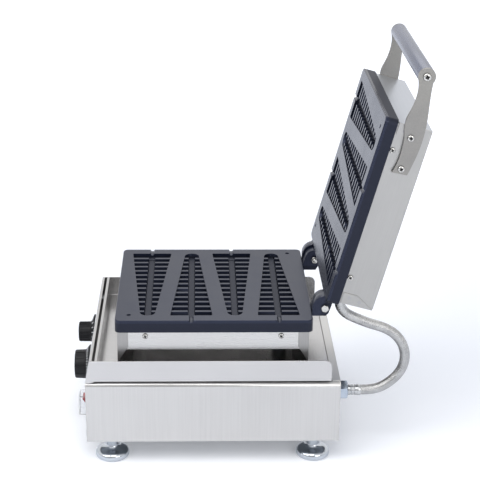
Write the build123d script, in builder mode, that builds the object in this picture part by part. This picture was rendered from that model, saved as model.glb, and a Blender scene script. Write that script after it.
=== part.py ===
from build123d import *
from math import cos, pi, radians, sin, tan
import os

os.makedirs("parts", exist_ok=True)

# Millimetres. X runs across the machine, +X on the side that the photograph shows.
# Y runs from the controls at -Y to the hinge at +Y. Z is up.
# The origin lies on the ground, midway between the four feet.

# Driving dimensions
body_width = 314.0
body_length = 370.0
body_height = 95.0
foot_height = 35.0
foot_radius = 25.0
plate_width = 280.0
plate_length = 285.0
plate_thickness = 18.5
plate_shift = 1.0
parting_height = 221.0
hinge_setback = 18.5
hinge_rise = 7.2
open_angle = 105.0
case_depth = 28.5
lid_depth = 50.6
grip_radius = 12.0
hose_diameter = 15.2

# Sheet metal and clearances
sheet = 1.2
edge_radius = 8.0
case_inset = 4.0
lid_gap = 0.4
pin_slack = 0.05
hole_slack = 0.15

# Waffle cavities, each a fir tree lying along X
tree_count = 4
tree_pitch = 63.3
tree_margin = 19.0
tree_wide = 61.0
tree_narrow = 22.0
tree_depth = 9.0
tree_corner = 1.5
trunk_width = 8.5
trunk_depth = 6.5
rib_count = 13
rib_root = 7.6
rib_draft = 7.0
rib_drop = 1.2
slab_length = 14.0
slab_depth = 6.0
stick_radius = 3.25

# Places that follow from them
half_w = body_width / 2
half_l = body_length / 2
base_z = foot_height
top_z = base_z + body_height
foot_x, foot_y = half_w - foot_radius, half_l - 36
tray_z = top_z + 3.3
tray_half = half_w + 1
tray_top = tray_z + 32.2
plate_half = plate_width / 2
plate_front = plate_shift - plate_length / 2
plate_rear = plate_shift + plate_length / 2
plate_base = parting_height - plate_thickness
hinge_y = plate_rear + hinge_setback
hinge_z = parting_height + hinge_rise
pan_z = plate_base - case_depth
case_x = plate_half - case_inset
case_y = plate_length / 2 - case_inset - 1.5
lid_bottom = parting_height + lid_gap + plate_thickness
lid_top = lid_bottom + lid_depth
tree_half = plate_half - tree_margin
tree_rows = [(row - (tree_count - 1) / 2) * tree_pitch for row in range(tree_count)]
rib_pitch = (2 * tree_half - 2 * slab_length - rib_root) / (rib_count - 1)
control_z = base_z + 50
control_x = half_w - 37
control_back = -half_l + 35
outlet_x, outlet_z = 95.0, base_z + 52
hose_radius = hose_diameter / 2
duct_y = case_y - 33
clamp_depth = plate_thickness + 8
swing = radians(open_angle)


def opened(y, z):
    """The place of a point of the closed lid's section once the lid stands open."""
    dy, dz = y - hinge_y, z - hinge_z
    return hinge_y + cos(swing) * dy + sin(swing) * dz, hinge_z - sin(swing) * dy + cos(swing) * dz


lid_frame = Plane((0, *opened(0, 0)), x_dir=(1, 0, 0), z_dir=(0, sin(swing), cos(swing)))


def on_lid(plane):
    """A plane of the closed lid, carried to where the open lid holds it."""
    return Plane(lid_frame.location * plane.location)


def across(x):
    """The plane across the machine at x: local X along Y, local Y along Z."""
    return Plane.YZ.offset(x)


def facing_front(y):
    """A plane that faces the front at y: local X along X, local Y along Z, normal to the front."""
    return Plane.XZ.offset(-y)


def facing_rear(y):
    """A plane that faces the rear at y: local X against X, local Y along Z, normal to the rear."""
    return Plane((0, y, 0), x_dir=(-1, 0, 0), z_dir=(0, 1, 0))


# The parting faces. Local X and Y lie in the face, and local Z is the depth into the plate.
lower_face = Plane((0, 0, parting_height), x_dir=(-1, 0, 0), z_dir=(0, 0, -1))
upper_face = on_lid(Plane.XY.offset(parting_height + lid_gap))


def at(plane, x, y, z=0.0):
    """The same plane moved to a point of its own frame."""
    return Plane(plane.from_local_coords(Vector(x, y, z)), x_dir=plane.x_dir, z_dir=plane.z_dir)


def lathe(seat):
    """The plane for a profile turned about a seat's normal: local X is the radius, local Y the height."""
    return Plane(seat.origin, x_dir=seat.x_dir, z_dir=seat.x_dir.cross(seat.z_dir))


def save(piece, name):
    piece.part.label = name
    export_step(piece.part, f"parts/{name}.step")


up = (Align.CENTER, Align.CENTER, Align.MIN)
down = (Align.CENTER, Align.CENTER, Align.MAX)


def pan_screws(name, seats, thread, length, head):
    """Pan-head cross-recess screws, their heads standing on the seats."""
    rise = head * 0.32
    with BuildPart(*seats) as screws:
        Cylinder(head / 2, rise * 0.6, align=up)
        Cylinder(thread / 2, length, align=down)
        with BuildSketch(*[seat.offset(rise * 0.6) for seat in seats]):
            Circle(head / 2)
        extrude(amount=rise * 0.4, taper=50)
        with BuildSketch(*[seat.offset(rise) for seat in seats]):
            Rectangle(head * 0.5, head * 0.12)
            Rectangle(head * 0.12, head * 0.5)
        extrude(amount=-rise * 0.6, mode=Mode.SUBTRACT)
    save(screws, name)


def hex_nuts(name, seats, thread, flats, height):
    """Plain hexagon nuts standing on the seats."""
    with BuildPart() as nuts:
        with BuildSketch(*seats):
            RegularPolygon(flats / 2, 6, major_radius=False)
            Circle(thread / 2 + hole_slack, mode=Mode.SUBTRACT)
        extrude(amount=height)
    save(nuts, name)


def bore(seats, radius, depth):
    """Round holes from the seats down, taken from the part in progress."""
    with BuildSketch(*seats) as holes:
        Circle(radius)
    extrude(holes.sketch, amount=-depth, mode=Mode.SUBTRACT)


# Base: a folded body of sheet steel on four feet


def end_outline():
    """The body's cross-section, with its two long top edges rolled."""
    with Locations((0, base_z)):
        Rectangle(body_width, body_height, align=(Align.CENTER, Align.MIN))
    fillet(vertices().group_by(Axis.Y)[-1], edge_radius)


flange = 12.0
well_x, well_front, well_rear = half_w - 22, -half_l + 35, half_l - 12.5
pad_x = half_w - 15
pad_rows = (45 - half_l, 0, half_l - 45)
bottom_screw_x = half_w - flange / 2
bottom_screw_y = half_l - 65

with BuildPart() as base_housing:
    with BuildSketch(Plane.XZ):
        end_outline()
        offset(amount=-sheet, mode=Mode.SUBTRACT)
        with Locations((0, base_z)):
            Rectangle(body_width - 2 * flange, 3 * sheet, mode=Mode.SUBTRACT)
    extrude(amount=half_l - sheet, both=True)
    with BuildSketch(Plane.XY.offset(top_z)):
        with Locations((0, (well_front + well_rear) / 2)):
            Rectangle(2 * well_x, well_rear - well_front)
    extrude(amount=-2 * sheet, mode=Mode.SUBTRACT)
    with Locations(Plane.XY.offset(base_z)):
        with GridLocations(2 * bottom_screw_x, 2 * bottom_screw_y, 2, 2):
            Cylinder(2 + hole_slack, 3 * sheet, mode=Mode.SUBTRACT)
save(base_housing, "base_housing")

knob_seats = {"thermostat": at(facing_front(-half_l), 0, control_z),
              "timer": at(facing_front(-half_l), -control_x, control_z)}
switch_seat = at(facing_front(-half_l), control_x, control_z - 5)
bush_radius = 5.0
switch_hole_w, switch_hole_h = 22.4, 28.4
panel_flange = 15.0


def end_panel(face, inward):
    """An end wall with two flanges that lie inside the body's long walls."""
    with BuildSketch(face.offset(-sheet)) as wall:
        end_outline()
    extrude(wall.sketch, amount=sheet)
    with BuildSketch(face.offset(-sheet)) as flanges:
        with Locations((0, base_z + body_height / 2)):
            with GridLocations(2 * (half_w - 2 * sheet - 0.2), 0, 2, 1):
                Rectangle(sheet, body_height - 3 * edge_radius)
    extrude(flanges.sketch, amount=-inward)


with BuildPart() as front_panel:
    end_panel(facing_front(-half_l), panel_flange)
    bore(knob_seats.values(), bush_radius + hole_slack, 2 * sheet)
    with BuildSketch(switch_seat):
        Rectangle(switch_hole_w, switch_hole_h)
    extrude(amount=-2 * sheet, mode=Mode.SUBTRACT)
save(front_panel, "front_panel")

hose_seat = at(facing_rear(half_l), -outlet_x, outlet_z)
inlet_z = base_z + 20
power_seat = at(facing_rear(half_l), outlet_x, inlet_z)
earth_seat = at(facing_rear(half_l), 40, outlet_z)
hose_thread, power_thread = 8.0, 8.0

with BuildPart() as rear_panel:
    end_panel(facing_rear(half_l), panel_flange)
    bore([hose_seat], hose_thread + hole_slack, 2 * sheet)
    bore([power_seat], power_thread + hole_slack, 2 * sheet)
    bore([earth_seat], 2.5 + hole_slack, 2 * sheet)
save(rear_panel, "rear_panel")

foot_spots = [(x, y) for y in (-foot_y, foot_y) for x in (foot_x, -foot_x)]
stud_radius = 4.0
stud_top = base_z + 16

with BuildPart() as base_bottom_plate:
    with BuildSketch(Plane.XY.offset(base_z + sheet)):
        Rectangle(body_width - 3 * sheet - 4, body_length - 2 * sheet - 4)
        with Locations(*foot_spots):
            Circle(stud_radius + hole_slack, mode=Mode.SUBTRACT)
        with GridLocations(2 * bottom_screw_x, 2 * bottom_screw_y, 2, 2):
            Circle(2 + hole_slack, mode=Mode.SUBTRACT)
        with GridLocations(0, 14, 1, 9):
            SlotOverall(80, 4, mode=Mode.SUBTRACT)
    extrude(amount=sheet)
save(base_bottom_plate, "base_bottom_plate")

under_base = Plane((0, 0, base_z), x_dir=(1, 0, 0), z_dir=(0, 0, -1))
bottom_seats = [at(under_base, x, y) for x in (-bottom_screw_x, bottom_screw_x)
                for y in (-bottom_screw_y, bottom_screw_y)]
pan_screws("bottom_screws", bottom_seats, 4, 8, 7)

# Feet: turned bells, each on its own threaded stud
neck_radius = 8.5
foot_names = ("foot_front_right", "foot_front_left", "foot_rear_right", "foot_rear_left")
for name, (x, y) in zip(foot_names, foot_spots):
    seat = at(Plane.XY, x, y)
    with BuildPart() as foot:
        with BuildSketch(lathe(seat)):
            with BuildLine():
                base = Polyline((stud_radius, stud_top), (0, stud_top), (0, 0), (foot_radius - 2, 0))
                rim = Polyline(base @ 1, (foot_radius, 3), (foot_radius, 7))
                bell = Bezier(rim @ 1, (foot_radius, 14), (neck_radius + 4, 11), (neck_radius, 18))
                Polyline(bell @ 1, (neck_radius, base_z + sheet), (stud_radius, base_z + sheet), base @ 0)
            make_face()
        revolve(axis=Axis(seat.origin, seat.z_dir))
    save(foot, name)
nut_seats = [at(Plane.XY, x, y, base_z + 2 * sheet) for x, y in foot_spots]
hex_nuts("foot_nuts", nut_seats, 2 * stud_radius, 13, 6)

# Splash guard and drip tray on top of the body
guard_lean = 7.0
guard_ledge = 3.6
guard_back = -half_l + guard_lean + guard_ledge

guard_half = tray_half - sheet - 0.3
with BuildPart() as splash_guard:
    with BuildSketch(across(-guard_half)):
        with BuildLine():
            Polyline((-half_l + 9, top_z), (-half_l, top_z), (-half_l + guard_lean, tray_top),
                     (guard_back, tray_top), (guard_back, tray_z + 1))
            offset(amount=sheet, side=Side.RIGHT, kind=Kind.INTERSECTION)
        make_face()
    extrude(amount=2 * guard_half)
    with BuildSketch(across(-guard_half), across(guard_half - sheet)):
        with BuildLine():
            Polyline((-half_l + 0.2, top_z + 1), (-half_l + guard_lean, tray_top),
                     (guard_back + 2, tray_top), (guard_back + 2, top_z + 1), close=True)
        make_face()
    extrude(amount=sheet)
save(splash_guard, "splash_guard")



def guard_slope(z):
    """Where the splash guard's leaning face lies at a height."""
    return -half_l + guard_lean * (z - top_z) / (tray_top - top_z)


tray_front, tray_rear = -half_l + 13, half_l - 14
tray_wall_y = tray_front + 1.5
hem = 4.0
support_screw_x = case_x - 36
support_screw_y = case_y - 8

with BuildPart() as drip_tray:
    with BuildSketch(Plane.XZ.offset(-tray_rear)):
        with Locations((0, tray_z)):
            Rectangle(2 * tray_half, tray_top - tray_z, align=(Align.CENTER, Align.MIN))
        with Locations((0, tray_z + sheet)):
            Rectangle(2 * (tray_half - sheet), tray_top, align=(Align.CENTER, Align.MIN), mode=Mode.SUBTRACT)
    extrude(amount=tray_rear - tray_front)
    fillet(edges().filter_by(Axis.X).group_by(Axis.Z)[-1].group_by(Axis.Y)[-1], 10)
    with BuildSketch(across(-tray_half), across(tray_half - sheet)):
        with BuildLine():
            Polyline((tray_front, tray_z), (guard_slope(tray_z), tray_z), (guard_slope(tray_top), tray_top),
                     (tray_front, tray_top), close=True)
        make_face()
    extrude(amount=sheet)
    with BuildSketch(across(-tray_half + sheet)):
        with BuildLine():
            Polyline((tray_wall_y, tray_z + sheet), (tray_wall_y, tray_top),
                     (tray_wall_y + hem, tray_top), (tray_wall_y + hem, tray_top - 5))
            offset(amount=sheet, side=Side.RIGHT, kind=Kind.INTERSECTION)
        make_face()
    extrude(amount=2 * (tray_half - sheet))
    with BuildSketch(Plane.XY.offset(tray_z + 2 * sheet)):
        with Locations((0, duct_y)):
            Circle(9)
        with GridLocations(2 * support_screw_x, 2 * support_screw_y, 2, 2):
            Circle(2 + hole_slack)
    extrude(amount=-4 * sheet, mode=Mode.SUBTRACT)
save(drip_tray, "drip_tray")

with BuildPart() as tray_pads:
    with BuildSketch(Plane.XY.offset(top_z)):
        with Locations(*[(side * pad_x, y) for side in (-1, 1) for y in pad_rows]):
            Circle(5)
    extrude(amount=tray_z - top_z)
save(tray_pads, "tray_pads")

# Pedestal: two end sheets carry the box that holds the lower plate
tab_reach = 15.5
tab_bend = pan_z + 4.7
tab_tip = pan_z - 17.6
side_screw_y = case_y - 39
lower_screw_z = plate_base - 7.2
lid_screw_z = lid_bottom + 4.7
block_depth = 14.0
block_x0, block_x1 = case_x - sheet - 10.3, case_x - sheet


def end_support(side, face):
    """One end sheet: the wall, the tabs folded round the box's corners and a foot flange."""
    low, high = tray_z + sheet, plate_base - 0.2
    edge, tab_edge = side * case_y, side * (case_y + sheet - tab_reach)
    with BuildPart() as support:
        with BuildSketch(face(edge)):
            with Locations((0, low)):
                Rectangle(2 * (case_x + sheet), high - low, align=(Align.CENTER, Align.MIN))
        extrude(amount=sheet)
        with BuildSketch(across(-case_x - sheet), across(case_x)):
            with BuildLine():
                Polyline((edge, high), (tab_edge, high), (tab_edge, tab_bend), (edge, tab_tip), close=True)
            make_face()
        extrude(amount=sheet)
        with BuildSketch(Plane.XY.offset(low)):
            with Locations((0, side * (case_y - 9))):
                Rectangle(2 * case_x, 18)
            with Locations((0, side * support_screw_y)):
                with GridLocations(2 * support_screw_x, 0, 2, 1):
                    Circle(2 + hole_slack, mode=Mode.SUBTRACT)
        extrude(amount=sheet)
    return support


def side_bores(z):
    """Planes on the right long wall from which a screw pair is bored through to the left one."""
    return [at(across(case_x), y, z) for y in (-side_screw_y, side_screw_y)]


save(end_support(-1, facing_front), "front_support")
save(end_support(1, facing_rear), "rear_support")
support_seats = [at(Plane.XY, x, y, tray_z + 2 * sheet) for x in (-support_screw_x, support_screw_x)
                 for y in (-support_screw_y, support_screw_y)]
pan_screws("support_screws", support_seats, 4, 8, 7)

with BuildPart() as lower_housing:
    with BuildSketch(Plane.XY.offset(pan_z)):
        Rectangle(2 * case_x, 2 * case_y)
    extrude(amount=plate_base - pan_z)
    offset(amount=-sheet, openings=faces().sort_by(Axis.Z)[-1])
    bore([at(Plane.XY, 0, duct_y, pan_z + 2 * sheet)], 9, 4 * sheet)
    bore(side_bores(lower_screw_z), 2 + hole_slack, 2 * case_x)
save(lower_housing, "lower_housing")

with BuildPart() as cable_duct:
    with BuildSketch(Plane.XY.offset(tray_z + sheet)):
        with Locations((0, duct_y)):
            Circle(11)
            Circle(9, mode=Mode.SUBTRACT)
    extrude(amount=pan_z - tray_z - sheet)
    with BuildSketch(Plane.XY.offset(tray_z + sheet)):
        with Locations((0, duct_y)):
            Circle(15)
            Circle(9, mode=Mode.SUBTRACT)
    extrude(amount=1.5)
save(cable_duct, "cable_duct")


def side_screw_seats(z):
    """Seats of the four screws that tie a housing's long walls to its plate."""
    return [Plane((side * case_x, y, z), x_dir=(0, side, 0), z_dir=(side, 0, 0))
            for side in (-1, 1) for y in (-side_screw_y, side_screw_y)]


lower_side_seats = side_screw_seats(lower_screw_z)
lid_side_seats = [on_lid(seat) for seat in side_screw_seats(lid_screw_z)]
pan_screws("lower_housing_screws", lower_side_seats, 4, 9, 8)
pan_screws("lid_screws", lid_side_seats, 4, 9, 8)

# Cast plates with the waffle cavities
heater_out, heater_in = plate_half - 35, 42.0
boss_x = (heater_out + heater_in) / 2
boss_spots = [(-boss_x, 50), (boss_x, 50), (-boss_x, -75), (boss_x, -75), (0, -60), (0, 20)]
boss_radius = 6.5
mark_radius, mark_depth = 3.2, 2.0
mark_spots = ((plate_half - 21, plate_front + 19.5), (18 - plate_half, plate_rear - 22))


def tree_void():
    """One cavity, wide end towards +X: the fir tree less its ribs, with the trunk left open."""
    wide, narrow, tip = tree_wide / 2, tree_narrow / 2, 10.0
    with BuildPart(mode=Mode.PRIVATE) as void:
        with BuildSketch(Plane.XY.offset(tree_depth)):
            with BuildLine():
                flank = Polyline((-tree_half + tip, narrow), (tree_half - tree_corner, wide),
                                 (tree_half, wide - tree_corner), (tree_half, 0))
                RadiusArc(flank @ 0, (-tree_half, 0), -narrow - 0.1)
                Line((-tree_half, 0), (tree_half, 0))
            make_face()
            mirror(about=Plane.XZ)
        extrude(amount=-tree_depth)
        with BuildSketch(Plane.XY.offset(tree_depth)):
            with GridLocations(rib_pitch, trunk_width + tree_wide, rib_count, 2):
                Rectangle(rib_root, tree_wide)
        extrude(amount=rib_drop - tree_depth, taper=rib_draft, mode=Mode.SUBTRACT)
        with BuildSketch(Plane.XY.offset(tree_depth)):
            Rectangle(2 * tree_half, trunk_width)
        extrude(amount=trunk_depth - tree_depth, mode=Mode.SUBTRACT)
        with BuildSketch(Plane.XY.offset(tree_depth)):
            with Locations((tree_half, 0)):
                Rectangle(slab_length, tree_wide, align=(Align.MAX, Align.CENTER))
        extrude(amount=slab_depth - tree_depth, mode=Mode.SUBTRACT)
        with Locations(Plane((tree_half - 4, 0, 0), z_dir=(1, 0, 0))):
            Cylinder(stick_radius, plate_width / 2, align=up)
        split(bisect_by=Plane.XY, keep=Keep.TOP)
    return void.part


def cast_plate(face, way):
    """A plate drawn from its parting face. way is the sign of local X at the first row's wide end."""
    with BuildPart() as plate:
        with BuildSketch(at(face, 0, plate_shift)):
            RectangleRounded(plate_width, plate_length, 8)
        extrude(amount=plate_thickness)
        fillet(plate.faces().sort_by(Axis(face.origin, face.z_dir))[0].edges(), 1.4)
        with BuildSketch(face.offset(plate_thickness)):
            with Locations(*boss_spots):
                Circle(boss_radius)
        extrude(amount=8)
        with BuildSketch(face.offset(plate_thickness)):
            with GridLocations(block_x0 + block_x1, 2 * side_screw_y, 2, 2):
                Rectangle(block_x1 - block_x0, 16)
        extrude(amount=block_depth)
        bore([at(face, x, y, clamp_depth) for x, y in boss_spots], 2 + hole_slack, 12)
        for row, y in enumerate(tree_rows):
            add(face.location * Location((0, y, 0), (0, 0, 0 if way * (-1) ** row > 0 else 180)) * void,
                mode=Mode.SUBTRACT)
        with BuildSketch(face):
            with Locations(*[(-way * x, y) for x, y in mark_spots]):
                Circle(mark_radius)
        extrude(amount=mark_depth, mode=Mode.SUBTRACT)
    return plate.part


# Hinge: each plate is cast with two lugs, and a bolt joins each pair
lug_inner, lug_middle, lug_outer = 78.0, 95.0, 112.0
lug_root = hinge_setback + 3.5
stop_gap = 0.35
bolt_radius = 3.0
pin = (hinge_y, hinge_z)


def from_pin(u, v):
    return hinge_y + u, hinge_z + v


def lug_span(side, near, far):
    """The plane where a lug starts, on one side of the machine, for a lug from near to far."""
    return across(near if side > 0 else -far)


void = tree_void()
lower_casting = cast_plate(lower_face, 1)
upper_casting = cast_plate(upper_face, -1)

with BuildPart() as lower_plate:
    add(lower_casting)
    lug_planes = [lug_span(side, lug_inner, lug_middle) for side in (-1, 1)]
    with BuildSketch(*lug_planes):
        with BuildLine():
            foot = Polyline(from_pin(-lug_root, -hinge_rise - 1.6), from_pin(-lug_root, -18),
                            from_pin(2, -18), from_pin(8, -8), from_pin(9, 0), from_pin(9, 12))
            heel = from_pin(-13.6, 6.4)
            RadiusArc(foot @ 1, heel, -15)
            Polyline(heel, from_pin(0.3 - hinge_setback, -hinge_rise - 1.6), foot @ 0)
        make_face()
        with Locations(pin):
            Circle(bolt_radius + hole_slack / 2, mode=Mode.SUBTRACT)
    extrude(amount=lug_middle - lug_inner)
    bore(side_bores(lower_screw_z), 2 + hole_slack, 2 * case_x)
save(lower_plate, "lower_plate")

with BuildPart() as upper_plate:
    add(upper_casting)
    lug_planes = [lug_span(side, lug_middle + lid_gap, lug_outer) for side in (-1, 1)]
    with BuildSketch(*lug_planes):
        with BuildLine():
            back = Polyline(from_pin(-18, 0), from_pin(stop_gap - hinge_setback, -12.4),
                            from_pin(1.6, -12.4), from_pin(5.3, -8.7), from_pin(8, -1),
                            from_pin(14.5, 18.8), from_pin(1, 22), from_pin(-3.5, 17.65))
            ThreePointArc(back @ 1, from_pin(-12.73, 12.73), back @ 0)
        make_face()
        with Locations(pin):
            Circle(bolt_radius + pin_slack, mode=Mode.SUBTRACT)
    extrude(amount=lug_outer - lug_middle - lid_gap)
    bore([on_lid(seat) for seat in side_bores(lid_screw_z)], 2 + hole_slack, 2 * case_x)
save(upper_plate, "upper_plate")

bolt_head = 4.0
bolt_seats = [Plane((side * (lug_outer + lid_gap), *pin), x_dir=(0, 1, 0), z_dir=(side, 0, 0))
              for side in (-1, 1)]
with BuildPart(*bolt_seats) as hinge_bolts:
    with BuildSketch(*bolt_seats):
        RegularPolygon(5, 6, major_radius=False)
    extrude(amount=bolt_head)
    Cylinder(bolt_radius, lug_outer + lid_gap - lug_inner + 8, align=down)
save(hinge_bolts, "hinge_bolts")
nut_seats = [Plane((side * lug_inner, *pin), x_dir=(0, 1, 0), z_dir=(-side, 0, 0))
             for side in (-1, 1)]
hex_nuts("hinge_nuts", nut_seats, 2 * bolt_radius, 10, 5)

# Behind each plate: tubular heater, clamp plate with its screws, insulation
heater_radius = 4.0
heater_end = case_y - 12
heater_front, heater_back = plate_front + 31.5, heater_end - 30
heater_tail = 14.0
heater_half = [(15, heater_end, heater_tail), (15, heater_end, 0), (15, heater_back, 0),
               (heater_out, heater_back, 0), (heater_out, heater_front, 0), (heater_in, heater_front, 0),
               (heater_in, heater_back - 33, 0)]
heater_route = [(-x, y, z) for x, y, z in heater_half] + heater_half[::-1]
heater_mid = plate_thickness + heater_radius
clamp_thickness = 2.0
wool_start = clamp_depth + clamp_thickness + 3


def heating_stack(prefix, face, wool_end):
    """The parts behind one plate, from the heater to the insulation."""
    with BuildPart() as heater:
        with BuildLine(face.offset(heater_mid)) as route:
            FilletPolyline(*heater_route, radius=12)
        with BuildSketch(Plane(route.line @ 0, z_dir=route.line % 0)):
            Circle(heater_radius)
        sweep(path=route.line)
    save(heater, f"{prefix}_heater")
    with BuildPart() as clamp:
        with BuildSketch(at(face, 0, -11, clamp_depth)):
            RectangleRounded(2 * case_x - 36, 2 * case_y - 40, 6)
        extrude(amount=clamp_thickness)
        bore([at(face, x, y, clamp_depth + clamp_thickness) for x, y in boss_spots], 2 + hole_slack, 4)
    save(clamp, f"{prefix}_clamp")
    seats = [at(face, x, y, clamp_depth + clamp_thickness) for x, y in boss_spots]
    pan_screws(f"{prefix}_clamp_screws", seats, 4, 10, 7)
    with BuildPart() as wool:
        with BuildSketch(at(face, 0, -22, wool_start)):
            Rectangle(2 * case_x - 32, 2 * case_y - 50)
        extrude(amount=wool_end - wool_start)
    save(wool, f"{prefix}_insulation")


heating_stack("lower", lower_face, parting_height - pan_z - sheet)
heating_stack("upper", upper_face, lid_top - sheet - parting_height - lid_gap)

# Lid housing: a folded box with separate end sheets


def from_front(y, z):
    """A point of the closed lid's side, from the lower front corner of its box."""
    return y - case_y, lid_bottom + z


ferrule_flange = hose_radius + 1.2
entry_z = lid_bottom + ferrule_flange + 0.3
hose_entry = at(facing_rear(case_y + lid_gap + sheet), -outlet_x, entry_z)
ferrule_thread = 6.0
arm_screws = (from_front(14.7, 22.7), from_front(60.3, 23.4))
arm_thread = 2.5

with BuildPart() as lid_housing:
    with BuildSketch(on_lid(Plane.XY.offset(lid_bottom))):
        with Locations((0, lid_gap / 2)):
            Rectangle(2 * case_x, 2 * case_y + lid_gap)
    extrude(amount=lid_depth)
    top = on_lid(Plane.XY.offset(lid_top))
    fillet(lid_housing.faces().sort_by(Axis(top.origin, top.z_dir))[-1].edges(), 2)
    rim = lid_housing.faces().sort_by(Axis(top.origin, top.z_dir))[0]
    offset(amount=-sheet, openings=rim)
    bore([on_lid(hose_entry)], ferrule_thread + hole_slack, 4 * sheet)
    bore(lid_side_seats, 2 + hole_slack, 3 * sheet)
    bore([on_lid(at(across(case_x), *spot)) for spot in arm_screws], arm_thread + hole_slack, 2 * case_x)
save(lid_housing, "lid_housing")

tab_inner = case_y - 15


def lid_end(side, face, case):
    """An end sheet of the lid: the wall and the tabs folded over the long walls."""
    with BuildPart() as end:
        with BuildSketch(on_lid(face(side * case))):
            with Locations((0, lid_bottom + 2)):
                Rectangle(2 * (case_x + sheet), lid_depth - 3, align=(Align.CENTER, Align.MIN))
        extrude(amount=sheet)
        with BuildSketch(on_lid(across(-case_x - sheet)), on_lid(across(case_x))):
            with BuildLine():
                Polyline((side * case, lid_bottom + 2), (side * tab_inner, lid_bottom + 2),
                         (side * tab_inner, lid_bottom + 22.6), (side * case, lid_top - 2.6), close=True)
            make_face()
        extrude(amount=sheet)
        bore([on_lid(at(across(case_x + 2 * sheet), *arm_screws[0]))], arm_thread + hole_slack, 3 * case_x)
        bore([on_lid(hose_entry)], ferrule_thread + hole_slack, 4 * sheet)
    return end


save(lid_end(-1, facing_front, case_y), "lid_front_end")
save(lid_end(1, facing_rear, case_y + lid_gap), "lid_rear_end")

# Handle: two flat arms and a round grip between their ends
arm_x0 = case_x + sheet
arm_thickness = 4.0
grip_y, grip_z = from_front(-72.7, 17.4)
top_spots = ((-67.5, 28.1), (-47.5, 30.7), (-14, 36.9), (18, 39.4), (41, 38), (67, 34.1))
low_spots = ((48.5, 15.9), (32.6, 15.7), (19.7, 14.3), (4.8, 10.5), (-7.5, 8.5), (-23.9, 11.1), (-38.5, 12.5),
             (-55, 11.1), (-67, 6.8))

for side, name in ((1, "handle_arm_right"), (-1, "handle_arm_left")):
    with BuildPart() as arm:
        with BuildSketch(on_lid(across(arm_x0 if side > 0 else -arm_x0 - arm_thickness))):
            with BuildLine():
                top_edge = Spline(*[from_front(*spot) for spot in top_spots])
                end = Line(top_edge @ 1, from_front(68.3, 12.3))
                low_edge = Spline(end @ 1, *[from_front(*spot) for spot in low_spots])
                Line(low_edge @ 1, top_edge @ 0)
            make_face()
            with Locations((grip_y, grip_z)):
                Circle(grip_radius)
            with Locations((grip_y, grip_z), *arm_screws):
                Circle(arm_thread + hole_slack, mode=Mode.SUBTRACT)
        extrude(amount=arm_thickness)
    save(arm, name)



def arm_face(side, y, z):
    """A screw's seat on an arm's outer face, on one side of the lid."""
    return on_lid(Plane((side * (arm_x0 + arm_thickness), y, z), x_dir=(0, 1, 0), z_dir=(side, 0, 0)))


grip_seats = [arm_face(side, grip_y, grip_z) for side in (-1, 1)]
arm_seats = [arm_face(side, *spot) for side in (-1, 1) for spot in arm_screws]

with BuildPart() as handle_grip:
    with BuildSketch(on_lid(across(0))):
        with Locations((grip_y, grip_z)):
            Circle(grip_radius)
    extrude(amount=arm_x0, both=True)
    bore(grip_seats, arm_thread + hole_slack, 22)
save(handle_grip, "handle_grip")
pan_screws("grip_screws", grip_seats, 2 * arm_thread, 20, 11)
pan_screws("handle_screws", arm_seats, 2 * arm_thread, 9, 9.5)

with BuildPart() as handle_spacers:
    with BuildSketch(on_lid(across(-arm_x0)), on_lid(across(case_x))):
        with Locations(arm_screws[1]):
            Circle(5.5)
            Circle(arm_thread + hole_slack, mode=Mode.SUBTRACT)
    extrude(amount=sheet)
save(handle_spacers, "handle_spacers")

# Braided hose with its end fittings, from the rear wall to the lid


def locknut(seat, thread, flats):
    """The nut that holds a gland from inside the wall, as a second solid of the gland."""
    with BuildSketch(seat.offset(-sheet)) as nut:
        RegularPolygon(flats / 2, 6, major_radius=False)
        Circle(thread + hole_slack, mode=Mode.SUBTRACT)
    extrude(nut.sketch, amount=-5)


gland_flats = 26.0
gland_length = 16.5
ring_y = 221.0
hose_bore = 4.0

with BuildPart() as hose_gland:
    with BuildSketch(hose_seat):
        RegularPolygon(gland_flats / 2, 6, major_radius=False)
    extrude(amount=gland_length)
    with BuildSketch(hose_seat):
        Circle(hose_thread)
    extrude(amount=-14)
    locknut(hose_seat, hose_thread, 24)
    bore([hose_seat.offset(gland_length)], hose_bore, 40)
save(hose_gland, "hose_gland")

with BuildPart() as hose_ferrule_lower:
    with BuildSketch(hose_seat.offset(gland_length)):
        Circle(hose_radius + 0.4)
        Circle(hose_bore, mode=Mode.SUBTRACT)
    extrude(amount=ring_y - half_l - gland_length)
    with BuildSketch(hose_seat.offset(ring_y - half_l - 5)):
        Circle(hose_radius + 0.9)
        Circle(hose_bore, mode=Mode.SUBTRACT)
    extrude(amount=5)
save(hose_ferrule_lower, "hose_ferrule_lower")

ferrule_length = 5.0
with BuildPart() as hose_ferrule_upper:
    with BuildSketch(on_lid(hose_entry)):
        Circle(ferrule_flange)
    extrude(amount=2)
    with BuildSketch(on_lid(hose_entry)):
        Circle(hose_radius + 0.7)
    extrude(amount=ferrule_length)
    with BuildSketch(on_lid(hose_entry)):
        Circle(ferrule_thread)
    extrude(amount=-8)
    bore([on_lid(hose_entry).offset(ferrule_length)], hose_bore, 40)
save(hose_ferrule_upper, "hose_ferrule_upper")

hose_end = on_lid(hose_entry).offset(ferrule_length + 0.1).origin
hose_lead = on_lid(hose_entry).offset(ferrule_length + 9).origin
hose_points = [(ring_y, outlet_z), (237, 87), (256, 93), (276.5, 111), (286, 132.5), (284.5, 156), (272, 177),
               (252, 189.5), (230, 196), (208.5, 205), (195, 212), (186.6, 221.9),
               (hose_lead.Y, hose_lead.Z), (hose_end.Y, hose_end.Z)]


def bend_radii(points):
    """The largest fair radius at each inner point: 0.45 of the shorter run by half the turn's tangent."""
    runs = [Vector(*b) - Vector(*a) for a, b in zip(points, points[1:])]
    return [0.45 * min(a.length, b.length) / tan(radians(a.get_angle(b) / 2)) for a, b in zip(runs, runs[1:])]


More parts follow.
